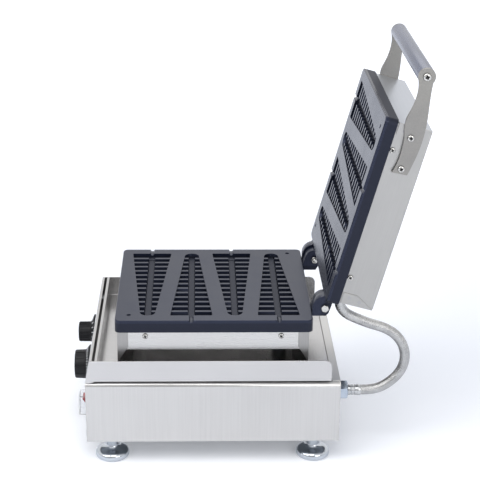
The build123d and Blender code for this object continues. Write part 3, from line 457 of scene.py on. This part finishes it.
def turned(name, stations, sides):
    # a turned shape about Z, from (radius, height) in mm: a disc extruded ring by ring
    bpy.ops.object.select_all(action="DESELECT")
    radius, height = stations[0]
    bpy.ops.mesh.primitive_circle_add(vertices=sides, radius=radius * mm, fill_type="NGON",
                                      location=(0, 0, height * mm))
    bpy.ops.object.transform_apply(location=True, rotation=True, scale=True)
    piece = bpy.context.object
    piece.name = name
    bpy.ops.object.mode_set(mode="EDIT")
    bpy.ops.mesh.select_all(action="SELECT")
    for newRadius, newHeight in stations[1:]:
        rise = (newHeight - height) * mm
        bpy.ops.mesh.extrude_region_move(TRANSFORM_OT_translate={"value": (0, 0, rise)})
        share = newRadius / radius
        bpy.ops.transform.resize(value=(share, share, 1), center_override=(0, 0, newHeight * mm))
        radius, height = newRadius, newHeight
    bpy.ops.mesh.select_all(action="SELECT")
    bpy.ops.mesh.normals_make_consistent(inside=False)
    bpy.ops.object.mode_set(mode="OBJECT")
    return piece


def bend(start, startPull, endPull, end, steps):
    # points on a smooth bend between two profile points, leaving out its first
    points = []
    for i in range(1, steps + 1):
        t = i / steps
        weights = ((1 - t) ** 3, 3 * t * (1 - t) ** 2, 3 * t * t * (1 - t), t ** 3)
        pulls = list(zip(weights, (start, startPull, endPull, end)))
        points.append(tuple(sum(weight * place[axis] for weight, place in pulls) for axis in (0, 1)))
    return points


def cutWith(piece, tool, operation="DIFFERENCE"):
    applyModifier(piece, "BOOLEAN", {"object": tool, "operation": operation, "solver": "EXACT"})
    bpy.data.objects.remove(tool)


def hexBar(name, flats, height):
    # a hexagon bar with both end faces chamfered as on a nut
    corner = flats / math.cos(math.radians(30)) / 2
    flatEnd = flats * 0.475  # radius of the flat round left on each end
    bpy.ops.object.select_all(action="DESELECT")
    bpy.ops.mesh.primitive_cylinder_add(vertices=6, radius=corner * mm, depth=height * mm,
                                        location=(0, 0, height / 2 * mm))
    bpy.ops.object.transform_apply(location=True, rotation=True, scale=True)
    bar = bpy.context.object
    bar.name = name
    drop = (corner - flatEnd) * math.tan(math.radians(30))
    clear = corner + 0.01
    cone = turned("cone", [(flatEnd, 0), (clear, drop), (clear, height - drop), (flatEnd, height)], 64)
    cutWith(bar, cone, "INTERSECT")
    return bar


def barAt(name, size, place=(0, 0, 0)):
    # a bar of a size about a place, in mm
    bpy.ops.mesh.primitive_cube_add(size=1)
    bar = bpy.context.object
    bar.name = name
    bar.data.transform(Matrix.Translation(Vector(place) * mm) @ Matrix.Diagonal(Vector(size) * mm).to_4x4())
    return bar


def rounded(piece, width, angle=30, segments=2, crease=38):
    # rounds the edges that are sharper than the angle, and shades smooth what is flatter than the crease
    applyModifier(piece, "BEVEL", {"width": width * mm, "segments": segments, "limit_method": "ANGLE",
                                   "angle_limit": math.radians(angle), "harden_normals": False})
    smoothed(piece, crease)


def seat(place, normal, onLid=False, spin=0):
    # the matrix that stands a piece's Z on a place in mm, along a normal
    upright = Vector(normal).to_track_quat("Z", "Y").to_matrix().to_4x4()
    stand = Matrix.Translation(Vector(place) * mm) @ upright @ Matrix.Rotation(math.radians(spin), 4, "Z")
    return lidTurn @ stand if onLid else stand


def placed(piece, seats):
    # one copy of the piece on each seat, joined into one mesh at the origin
    copies = []
    for matrix in seats:
        copy = piece.copy()
        copy.data = piece.data.copy()
        bpy.context.collection.objects.link(copy)
        copy.data.transform(matrix)
        copies.append(copy)
    name = piece.name
    bpy.data.objects.remove(piece)
    selectOnly(*copies)
    if len(copies) > 1:
        bpy.ops.object.join()
    copies[0].name = name
    return copies[0]


def finished(piece, finish, body, slot, *replaced):
    piece.data.materials.clear()
    piece.data.materials.append(materials[finish])
    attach(piece, body)
    if replaced:
        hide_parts(*replaced)
    return piece


# braided hose from its gland on the rear wall up to the lid; sizes in mm, its length in metres
hose = {"x": 95.0, "radius": 7.6, "length": 0.249, "step": 1.2, "coreSides": 32,
        "strands": 16, "pitch": 50.0, "ribbon": 2.0, "thick": 0.45, "wave": 0.22,
        # a ribbon's corners in half widths and half thicknesses: flat inside, crowned outside
        "outline": [(-1, -0.2), (0, -1), (1, -0.2), (0.5, 1), (-0.5, 1)],
        "route": [(221, 87), (237, 87), (256, 93), (276.5, 111), (286, 132.5), (284.5, 156), (272, 177),
                  (252, 189.5), (230, 196), (208.5, 205), (195, 212), (186.6, 221.9), (184.52, 231.90),
                  (186.83, 240.49)]}


def hoseLine():
    # the smooth line through the hose, read from a NURBS spline
    data = bpy.data.curves.new("hoseLine", "CURVE")
    data.dimensions = "3D"
    data.resolution_u = 24
    spline = data.splines.new("NURBS")
    spline.points.add(len(hose["route"]) - 1)
    for point, (y, z) in zip(spline.points, hose["route"]):
        point.co = (hose["x"] * mm, y * mm, z * mm, 1)
    spline.order_u = 3
    spline.use_endpoint_u = True
    guide = bpy.data.objects.new("hoseLine", data)
    bpy.context.collection.objects.link(guide)
    bpy.context.view_layer.update()
    mesh = bpy.data.meshes.new_from_object(guide)
    line = [v.co.copy() for v in mesh.vertices]
    bpy.data.objects.remove(guide)
    bpy.data.meshes.remove(mesh)
    return line


def evenly(line, step):
    # the same line at equal steps, and its length
    lengths = [0.0]
    for a, b in zip(line, line[1:]):
        lengths.append(lengths[-1] + (b - a).length)
    count = round(lengths[-1] / step)
    points, k = [], 0
    for i in range(count + 1):
        want = lengths[-1] * i / count
        while k < len(lengths) - 2 and lengths[k + 1] < want:
            k += 1
        share = (want - lengths[k]) / (lengths[k + 1] - lengths[k])
        points.append(line[k].lerp(line[k + 1], share))
    return points, lengths[-1]


def lineFrames(points):
    # each point with X, the direction square to it across the line, and the direction along the line
    frames = []
    for i, point in enumerate(points):
        ahead = (points[min(i + 1, len(points) - 1)] - points[max(i - 1, 0)]).normalized()
        frames.append((point, Vector((1, 0, 0)), Vector((1, 0, 0)).cross(ahead), ahead))
    return frames


hosePath, hoseMeasured = evenly(hoseLine(), hose["step"] * mm)
hoseFrames = lineFrames(hosePath)
hoseCorners, hoseFaces, hoseParts = [], [], []


def addHoseRings(rings, part):
    # joins rings of points into a closed tube of one of the hose's two materials
    start, sides = len(hoseCorners), len(rings[0])
    for ring in rings:
        hoseCorners.extend(ring)
    for i in range(len(rings) - 1):
        for k in range(sides):
            a, b = start + i * sides + k, start + i * sides + (k + 1) % sides
            hoseFaces.append((a, b, b + sides, a + sides))
            hoseParts.append(part)
    last = start + (len(rings) - 1) * sides
    hoseFaces.append(tuple(range(start + sides - 1, start - 1, -1)))
    hoseFaces.append(tuple(range(last, last + sides)))
    hoseParts.extend((part, part))


def coreRings():
    radius = (hose["radius"] - hose["thick"] - 2 * hose["wave"]) * mm
    angles = [2 * math.pi * k / hose["coreSides"] for k in range(hose["coreSides"])]
    return [[p + radius * (math.cos(angle) * u + math.sin(angle) * v) for angle in angles]
            for p, u, v, ahead in hoseFrames]


def strandRings(way, strand):
    # one strand of the braid: a ribbon that winds one way and weaves over and under
    rings = []
    radius = (hose["radius"] - hose["thick"] / 2 - hose["wave"]) * mm
    twist = 2 * math.pi / (hose["pitch"] * mm)
    for i, (p, u, v, ahead) in enumerate(hoseFrames):
        run = hoseMeasured * i / (len(hoseFrames) - 1)
        angle = way * twist * run + 2 * math.pi * strand / hose["strands"]
        out = math.cos(angle) * u + math.sin(angle) * v
        around = (-math.sin(angle) * u + math.cos(angle) * v) * way
        along = (ahead + around * twist * radius).normalized()
        side = along.cross(out).normalized() * hose["ribbon"] * mm / 2
        lift = out * hose["thick"] * mm / 2
        weave = way * hose["wave"] * mm * math.cos(hose["strands"] * twist * run)
        middle = p + out * (radius + weave)
        rings.append([middle + side * a + lift * b for a, b in hose["outline"]])
    return rings


addHoseRings(coreRings(), 1)
for way in (1, -1):
    for strand in range(hose["strands"]):
        addHoseRings(strandRings(way, strand), 0)
hoseMesh = bpy.data.meshes.new("braidedHose")
hoseMesh.from_pydata(hoseCorners, [], hoseFaces)
hoseMesh.materials.append(materials["braidWire"])
hoseMesh.materials.append(materials["hoseRubber"])
hoseMesh.polygons.foreach_set("material_index", hoseParts)
braidedHose = bpy.data.objects.new("braidedHose", hoseMesh)
bpy.context.collection.objects.link(braidedHose)
selectOnly(braidedHose)
bpy.ops.object.mode_set(mode="EDIT")
bpy.ops.mesh.select_all(action="SELECT")
bpy.ops.mesh.normals_make_consistent(inside=False)
bpy.ops.object.mode_set(mode="OBJECT")
smoothed(braidedHose, 50)
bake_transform(braidedHose)
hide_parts("braided_hose")
print("hose: length", round(hoseMeasured, 4), "faces", len(hoseFaces))

# feet: chromed bells on a grooved neck
foot = {"x": 132, "y": 149, "rim": 25, "neck": 8.5, "neckFrom": 18.5, "groove": 0.8, "top": 36.2,
        "stud": 4, "studTop": 51, "edge": 0.25}
footCorners = {"front_right": (1, -1), "front_left": (-1, -1), "rear_right": (1, 1), "rear_left": (-1, 1)}
rim, neck = foot["rim"], foot["neck"]
bellOutline = [(22.2, 0.0), (23.4, 0.5), (24.5, 1.6), (rim, 3.2), (rim, 5.2)]
bellOutline += bend((rim, 5.2), (rim, 14.4), (12.4, 10.6), (neck, 18), 12)
bellOutline += [(neck, 20), (neck, 31), (neck - foot["groove"], 31.6), (neck - foot["groove"], 32.4),
                (neck, 33), (neck, foot["top"]), (foot["stud"], foot["top"]), (foot["stud"], foot["studTop"])]
for corner, (wayX, wayY) in footCorners.items():
    bell = turned("chromeFoot_" + corner, bellOutline, 72)
    rounded(bell, foot["edge"], angle=50)
    bell = placed(bell, [Matrix.Translation(Vector((wayX * foot["x"], wayY * foot["y"], 0)) * mm)])
    finished(bell, "chromePlate", "base", "chrome_foot", "foot_" + corner)
    # faces above the neck's start take the greyer steel: painted shade under the body
    bell.data.materials.append(materials["dullNeckSteel"])
    for face in bell.data.polygons:
        face.material_index = int(face.center.z > foot["neckFrom"] * mm)
print("feet:", len(footCorners))

# cross-recess pan screws: sizes and (y, z) spots in mm, and the first turn and its step in degrees
screwRows = {
    "lowerHousingScrews": {
        "node": "lower_housing_screws", "body": "base", "thread": 4, "length": 9, "head": 8,
        "x": 136.0, "spots": [(-98, 195.3), (98, 195.3)], "turns": (20, 13)},
    "lidScrews": {
        "node": "lid_screws", "body": "lid", "thread": 4, "length": 9, "head": 8,
        "x": 136.0, "spots": [(-98, 244.6), (98, 244.6)], "turns": (35, 17)},
    "handleScrews": {
        "node": "handle_screws", "body": "lid", "thread": 5, "length": 9, "head": 9.5,
        "x": 141.2, "spots": [(-122.3, 262.6), (-76.7, 263.3)], "turns": (10, 22)},
    "gripScrews": {
        "node": "grip_screws", "body": "lid", "thread": 5, "length": 20, "head": 11,
        "x": 141.2, "spots": [(-209.7, 257.3)], "turns": (30, 0)},
}
# the cross, and where painted shade lies: shares of the head's width or radius, or of its rise
cross = {"foot": 0.09, "mouth": 0.175, "arm": 2.4, "middle": 0.72, "deep": 0.8}
recessShade = {"crossWithin": 0.6, "crossFrom": 0.2, "crossTo": 0.88, "rimFrom": 0.5, "rimBelow": 0.6}


def panScrew(name, thread, length, head):
    # a turned screw with a cross cut into its head; painted shade lies in the cross and under the rim
    r, rise = head / 2, head * 0.32
    screw = turned(name, [
        (thread * 0.4, -length), (thread / 2, 0.6 - length), (thread / 2, 0), (r * 0.96, 0.0), (r, 0.12),
        (r, rise * 0.45), (r * 0.97, rise * 0.62), (r * 0.88, rise * 0.78), (r * 0.72, rise * 0.9),
        (r * 0.5, rise * 0.965), (r * 0.25, rise * 0.995)], 40)
    for stretch in ((cross["arm"], 1, 1), (1, cross["arm"], 1)):
        bpy.ops.mesh.primitive_cone_add(
            vertices=4, radius1=head * cross["foot"] * mm, radius2=head * cross["mouth"] * mm,
            depth=rise * cross["deep"] * mm, location=(0, 0, rise * cross["middle"] * mm),
            rotation=(0, 0, math.radians(45)))
        bpy.ops.object.transform_apply(location=True, rotation=True, scale=True)
        arm = bpy.context.object
        arm.scale = stretch
        bpy.ops.object.transform_apply(location=True, rotation=True, scale=True)
        cutWith(screw, arm)
    smoothed(screw, 32)
    screw.data.materials.clear()
    screw.data.materials.append(materials["brightZincPlate"])
    screw.data.materials.append(materials["screwRecessShade"])
    for face in screw.data.polygons:
        wide = math.hypot(face.center.x, face.center.y) / mm
        high = face.center.z / mm
        inCross = wide < r * recessShade["crossWithin"] and rise * recessShade["crossFrom"] < high < rise * recessShade["crossTo"]
        underRim = wide > r * recessShade["rimFrom"] and high < rise * recessShade["rimBelow"]
        face.material_index = int(inCross or underRim)
    return screw


for name, row in screwRows.items():
    first, step = row["turns"]
    spots = [(way, y, z) for way in (1, -1) for y, z in row["spots"]]
    seats = [seat((way * row["x"], y, z), (way, 0, 0), row["body"] == "lid", first + step * k)
             for k, (way, y, z) in enumerate(spots)]
    screws = placed(panScrew(name, row["thread"], row["length"], row["head"]), seats)
    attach(screws, row["body"])
    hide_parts(row["node"])
print("screw rows:", len(screwRows))

# hinge bolts through the lugs, and their nuts
bolt = {"flats": 10, "head": 4, "nut": 5, "radius": 3, "length": 42.4, "chamfer": 0.4, "play": 0.15,
        "headX": 112.4, "headSpin": 12, "nutX": 78, "nutSpin": 25, "edge": 0.15}
hingeBolt = hexBar("hingeBolts", bolt["flats"], bolt["head"])
shank = turned("shank", [
    (bolt["radius"] - bolt["chamfer"], -bolt["length"]), (bolt["radius"], bolt["chamfer"] - bolt["length"]),
    (bolt["radius"], 0.2)], 32)  # runs 0.2 mm into the head
selectOnly(hingeBolt, shank)
bpy.ops.object.join()
rounded(hingeBolt, bolt["edge"])
boltSeats = [seat((way * bolt["headX"], hinge["y"], hinge["z"]), (way, 0, 0), spin=bolt["headSpin"])
             for way in (1, -1)]
finished(placed(hingeBolt, boltSeats), "brightZincPlate", "base", "fastener_steel", "hinge_bolts")
hingeNut = hexBar("hingeNuts", bolt["flats"], bolt["nut"])
bore = bolt["radius"] + bolt["play"]
cutWith(hingeNut, turned("bore", [(bore, -1), (bore, bolt["nut"] + 1)], 32))
rounded(hingeNut, bolt["edge"])
nutSeats = [seat((way * bolt["nutX"], hinge["y"], hinge["z"]), (-way, 0, 0), spin=bolt["nutSpin"])
            for way in (1, -1)]
finished(placed(hingeNut, nutSeats), "brightZincPlate", "base", "fastener_steel", "hinge_nuts")
print("hinge bolts and nuts")

# hose fittings: the gland through the rear wall, and a ferrule at each end of the hose
fitting = {
    "x": 95, "z": 87, "wall": 185, "flats": 26, "length": 16.5, "glandEdge": 0.3, "edge": 0.12,
    "lockFlats": 24, "lockLength": 5, "lockDrop": 6.2, "upperY": 138.6, "upperZ": 249,
    "thread": [(7.6, -14), (8, -13.4), (8, 0.5)],
    "lowerOutline": [(7.2, 16.5), (7.8, 16.8), (8, 17.5), (8, 20.2), (7.5, 20.8), (7.5, 21.8), (8, 22.4),
                     (8, 25.4), (7.5, 26), (7.5, 27), (8, 27.6), (8, 30.6), (8.5, 31), (8.5, 35.5),
                     (8.2, 36), (7.65, 36)],
    "upperOutline": [(5.6, -8), (6, -7.4), (6, 0), (8.4, 0), (8.8, 0.4), (8.8, 1.6), (8.4, 2), (7.9, 2.1),
                     (7.9, 3.2), (8.3, 3.6), (8.3, 4.6), (8, 5)],
}
gland = hexBar("hoseGland", fitting["flats"], fitting["length"])
rounded(gland, fitting["glandEdge"])
lock = hexBar("lockNut", fitting["lockFlats"], fitting["lockLength"])
lock.data.transform(Matrix.Translation((0, 0, -fitting["lockDrop"] * mm)))
thread = turned("thread", fitting["thread"], 40)
selectOnly(gland, lock, thread)
bpy.ops.object.join()
glandSeat = seat((fitting["x"], fitting["wall"], fitting["z"]), (0, 1, 0))
finished(placed(gland, [glandSeat]), "nickelPlate", "base", "fitting_steel", "hose_gland")
lowerFerrule = turned("hoseFerruleLower", fitting["lowerOutline"], 48)
rounded(lowerFerrule, fitting["edge"], angle=40)
finished(placed(lowerFerrule, [glandSeat]), "crimpedSteel", "base", "fitting_steel", "hose_ferrule_lower")
upperFerrule = turned("hoseFerruleUpper", fitting["upperOutline"], 48)
rounded(upperFerrule, fitting["edge"], angle=40)
upperSeat = seat((fitting["x"], fitting["upperY"], fitting["upperZ"]), (0, 1, 0), onLid=True)
finished(placed(upperFerrule, [upperSeat]), "crimpedSteel", "lid", "fitting_steel", "hose_ferrule_upper")
print("hose fittings")

# knobs: each is a fluted grip on a skirt, with a painted pointer and ticks; sizes in mm, sweeps in degrees
dial = {"wall": -185, "z": 85, "sides": 96, "flutePitch": 4}
pointerSizes = {"groove": 1.6, "grooveDeep": 1.2, "paint": 1.3, "paintThick": 0.3, "shorter": 0.4,
                "sunk": 0.42, "edge": 0.08}
tickSizes = {"wide": 1.0, "thick": 0.25, "edge": 0.08}
knobs = {
    "thermostat": {
        "x": 0, "edge": 0.3, "flutes": {"low": 11, "high": 25.5, "wide": 1, "deep": 0.7},
        "outline": [(28.2, 2), (30, 2), (30, 5), (22.6, 10.9), (22.5, 12), (22, 25.4), (21.2, 27),
                    (19, 27.5), (18, 27.2)],
        "pointer": {"middle": 12, "length": 12, "top": 27.2},
        "scale": {"ticks": 31, "sweep": 280, "inner": 24.6, "outer": 28.6, "low": 6.1, "high": 9.35}},
    "timer": {
        "x": -120, "edge": 0.25, "flutes": {"low": 12, "high": 29, "wide": 2, "deep": 1.1},
        "outline": [(26.2, 2), (28, 2), (28, 5.8), (16.6, 11.2), (16.4, 12.4), (16.2, 29), (15.4, 30.5),
                    (13.6, 31)],
        "pointer": {"middle": 8, "length": 9, "top": 31},
        "scale": {"ticks": 16, "sweep": 300, "inner": 20.5, "outer": 26.5, "low": 6.5, "high": 9.4}},
}


def sinkFlutes(knob, flutes):
    # sinks the first one or two side faces of each flute pitch round the knob
    def isFlute(centre, normal):
        column = round(math.degrees(math.atan2(centre.y, centre.x)) / (360 / dial["sides"]))
        upright = abs(normal.z) < 0.3
        onGrip = flutes["low"] * mm < centre.z < flutes["high"] * mm
        return upright and onGrip and column % dial["flutePitch"] < flutes["wide"]

    pickFaces(knob, isFlute)
    bpy.ops.mesh.extrude_region_shrink_fatten(TRANSFORM_OT_shrink_fatten={"value": -flutes["deep"] * mm})
    bpy.ops.object.mode_set(mode="OBJECT")


def pointerMark(knob, middle, length, top):
    # cuts a groove into the knob's face and returns the paint that lies in it
    sizes = pointerSizes
    cutWith(knob, barAt("groove", (sizes["groove"], length, sizes["grooveDeep"]), (0, middle, top)))
    bar = (sizes["paint"], length - sizes["shorter"], sizes["paintThick"])
    paint = barAt(knob.name + "Mark", bar, (0, middle, top - sizes["sunk"]))
    rounded(paint, sizes["edge"], segments=1)
    return paint


def tickRing(name, matrix, scale):
    # painted bars on the skirt's slope, spread over the sweep
    inner, outer, low, high = scale["inner"], scale["outer"], scale["low"], scale["high"]
    tick = barAt(name, (outer - inner, tickSizes["wide"], tickSizes["thick"]))
    rounded(tick, tickSizes["edge"], segments=1)
    slope = math.atan2(high - low, outer - inner)
    middle = Matrix.Translation(((inner + outer) / 2 * mm, 0, (low + high) / 2 * mm))
    tick.data.transform(middle @ Matrix.Rotation(slope, 4, "Y"))
    step = scale["sweep"] / (scale["ticks"] - 1)
    angles = [90 - scale["sweep"] / 2 + step * k for k in range(scale["ticks"])]
    return placed(tick, [matrix @ Matrix.Rotation(math.radians(angle), 4, "Z") for angle in angles])


for kind, look in knobs.items():
    body = kind + "_dial"
    place = Vector((look["x"], dial["wall"], dial["z"])) * mm
    knobSeat = Matrix.Translation(place) @ Matrix.Rotation(math.radians(90), 4, "X")
    knob = turned(kind + "Knob", look["outline"], dial["sides"])
    sinkFlutes(knob, look["flutes"])
    rounded(knob, look["edge"], angle=28)
    pointer = pointerMark(knob, **look["pointer"])
    finished(placed(knob, [knobSeat]), "mouldedPhenolic", body, "knob_plastic", kind + "_knob")
    finished(placed(pointer, [knobSeat]), "dialPaint", body, "knob_plastic")
    finished(tickRing(kind + "Scale", knobSeat, look["scale"]), "dialPaint", body, "knob_plastic")
print("knobs:", len(knobs))

# grip: a moulded bar between the arms
grip ={"radius": 12, "half": 137.2, "y": -209.7, "z": 257.3}
gripEnd = [(grip["radius"] - 0.8, grip["half"]), (grip["radius"] - 0.1, grip["half"] - 0.3),
           (grip["radius"], grip["half"] - 1)]
gripBar = turned("handleGrip", [(radius, -reach) for radius, reach in gripEnd] + gripEnd[::-1], 96)
smoothed(gripBar, 50)
gripSeat = seat((0, grip["y"], grip["z"]), (1, 0, 0), onLid=True)
finished(placed(gripBar, [gripSeat]), "polyamideGrip", "lid", "grip_plastic", "handle_grip")
print("grip")

# spot-weld marks on the folded tabs at the lid's corners
weld = {"x": 137.2, "spots": [(128, 252), (131, 268)],
        "outline": [(2.6, 0), (2.4, 0.05), (1.9, 0.07), (1.6, 0.03)]}
weldMark = turned("spotWelds", weld["outline"], 24)
smoothed(weldMark, 40)
weldSeats = [seat((way * weld["x"], end * y, z), (way, 0, 0), onLid=True)
             for way in (1, -1) for end in (1, -1) for y, z in weld["spots"]]
finished(placed(weldMark, weldSeats), "spotWeldMark", "lid", "stainless_sheet")
print("spot welds:", len(weldSeats))

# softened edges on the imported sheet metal, castings and mouldings: width in mm and the nodes that have it
edgeWidths = {
    0.3: ["base_housing", "front_panel", "rear_panel", "splash_guard", "drip_tray", "lower_housing",
          "front_support", "rear_support", "lid_housing", "lid_front_end", "lid_rear_end"],
    0.4: ["switch_body", "switch_cover", "power_gland"],
    0.5: ["lower_plate", "upper_plate", "handle_arm_right", "handle_arm_left"],
    0.6: ["switch_rocker"],
}
soften = {"merge": 0.001, "flat": 0.6, "sharp": 30}  # mm between doubles, degrees of a flat and of an edge


def softenEdges(node, width):
    # merges the loose triangles, dissolves what is flat and bevels what is sharp
    merge = node.modifiers.new("merge", "WELD")
    merge.merge_threshold = soften["merge"] * mm
    flat = node.modifiers.new("flat", "DECIMATE")
    flat.decimate_type = "DISSOLVE"
    flat.angle_limit = math.radians(soften["flat"])
    edge = node.modifiers.new("edge", "BEVEL")
    edge.width = width * mm
    edge.segments = 2
    edge.limit_method = "ANGLE"
    edge.angle_limit = math.radians(soften["sharp"])
    edge.harden_normals = True


for width, names in edgeWidths.items():
    for name in names:
        softenEdges(nodes[name], width)
print("edges softened:", sum(len(names) for names in edgeWidths.values()))
